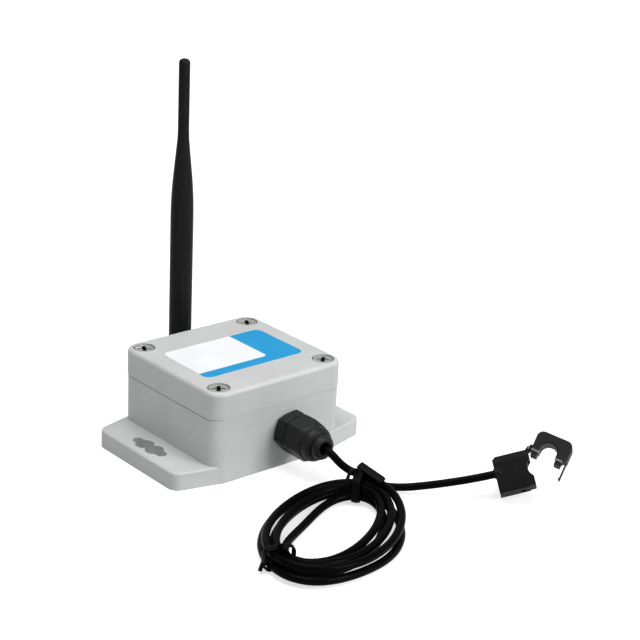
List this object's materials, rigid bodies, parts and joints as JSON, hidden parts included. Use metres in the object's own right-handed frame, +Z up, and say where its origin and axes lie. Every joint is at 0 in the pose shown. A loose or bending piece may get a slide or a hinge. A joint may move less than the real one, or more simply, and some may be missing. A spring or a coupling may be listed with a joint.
{
  "type": "wireless current clamp meter",
  "caption": "Flanged sensor box with a tilting whip antenna, a cable gland, a coiled lead and a small hinged split-core current clamp.",
  "frame": {"origin": "middle of the box's underside, on the plane that the flanges stand on", "axes": "+Z up out of the lid, X from flange to flange, +Y towards the antenna, -Y towards the cable gland"},
  "size_m": [0.1364, 0.1709, 0.146],
  "materials": {
    "enclosure": "satin",
    "label_film": "satin",
    "screw_steel": "satin",
    "hinge_steel": "satin",
    "brass": "satin",
    "nickel_sheet": "satin",
    "board_laminate": "satin",
    "radio_can": "satin",
    "chip_plastic": "matt",
    "holder_plastic": "satin",
    "cell_sleeve": "gloss",
    "terminal_plastic": "satin",
    "conductor_insulation": "satin",
    "black_nylon": "satin",
    "black_rubber": "matt",
    "cable_sheath": "satin",
    "tie_plastic": "satin",
    "radiator_brass": "satin",
    "clamp_plastic": "satin",
    "pad_plastic": "matt",
    "core_ferrite": "matt",
    "bobbin_plastic": "matt",
    "copper_winding": "satin"
  },
  "bodies": {
    "base": {"antenna_coax": "conductor_insulation", "antenna_jack": "brass", "base_shell": "enclosure", "battery_cell": "cell_sleeve", "battery_contacts": "nickel_sheet", "battery_holder": "holder_plastic", "board_chips": "chip_plastic", "board_conductors": "conductor_insulation", "board_screws": "screw_steel", "cable_coil": "cable_sheath", "cable_inner": "cable_sheath", "cable_lead": "cable_sheath", "cable_tail": "cable_sheath", "circuit_board": "board_laminate", "clamp_back_cover": "clamp_plastic", "clamp_bobbin": "bobbin_plastic", "clamp_body": "clamp_plastic", "clamp_conductors": "conductor_insulation", "clamp_grommet": "black_rubber", "clamp_hinge_pin": "hinge_steel", "clamp_lower_core": "core_ferrite", "clamp_winding": "copper_winding", "gland_body": "black_nylon", "gland_gasket": "black_rubber", "gland_locknut": "black_nylon", "gland_seal": "black_rubber", "jack_nut": "brass", "jack_washer": "brass", "lid_seal": "black_rubber", "radio_module": "radio_can", "terminal_block": "terminal_plastic", "terminal_screws": "screw_steel", "threaded_inserts": "brass", "twist_tie_far": "tie_plastic", "twist_tie_near": "tie_plastic"},
    "lid": {"lid_shell": "enclosure", "lid_screws": "screw_steel", "lid_label": "label_film"},
    "gland_nut": {"gland_cap_nut": "black_nylon"},
    "antenna_coupling": {"antenna_nut": "black_nylon"},
    "antenna_foot": {"antenna_base": "black_nylon"},
    "antenna_whip": {"antenna_sheath": "black_nylon", "antenna_radiator": "radiator_brass", "antenna_hinge_pin": "hinge_steel"},
    "jaw": {"jaw_shell": "clamp_plastic", "jaw_pads": "pad_plastic", "jaw_cover": "clamp_plastic", "jaw_core": "core_ferrite", "jaw_core_spring": "hinge_steel"}
  },
  "joints": [
    {"name": "lid_lift", "type": "slide", "parent": "base", "child": "lid", "axis": [0, 0, 1], "range_m": [0, 0.06]},
    {"name": "gland_nut_turn", "type": "hinge", "parent": "base", "child": "gland_nut", "pos_m": [0.0043, -0.0425, 0.0147], "axis": [0, -1, 0], "range_deg": [0, 360]},
    {"name": "antenna_nut_turn", "type": "hinge", "parent": "base", "child": "antenna_coupling", "pos_m": [0.0086, 0.0373, 0.0155], "axis": [0, 1, 0], "range_deg": [0, 360]},
    {"name": "antenna_swivel", "type": "hinge", "parent": "base", "child": "antenna_foot", "pos_m": [0.0086, 0.0417, 0.0155], "axis": [0, 1, 0], "range_deg": [-180, 180]},
    {"name": "antenna_tilt", "type": "hinge", "parent": "antenna_foot", "child": "antenna_whip", "pos_m": [0.0086, 0.04755, 0.0155], "axis": [1, 0, 0], "range_deg": [-90, 0]},
    {"name": "jaw_hinge", "type": "hinge", "parent": "base", "child": "jaw", "pos_m": [0.06351, -0.10338, 0.01801], "axis": [-0.6445, -0.477, 0.5976], "range_deg": [-52.3, 25]}
  ]
}
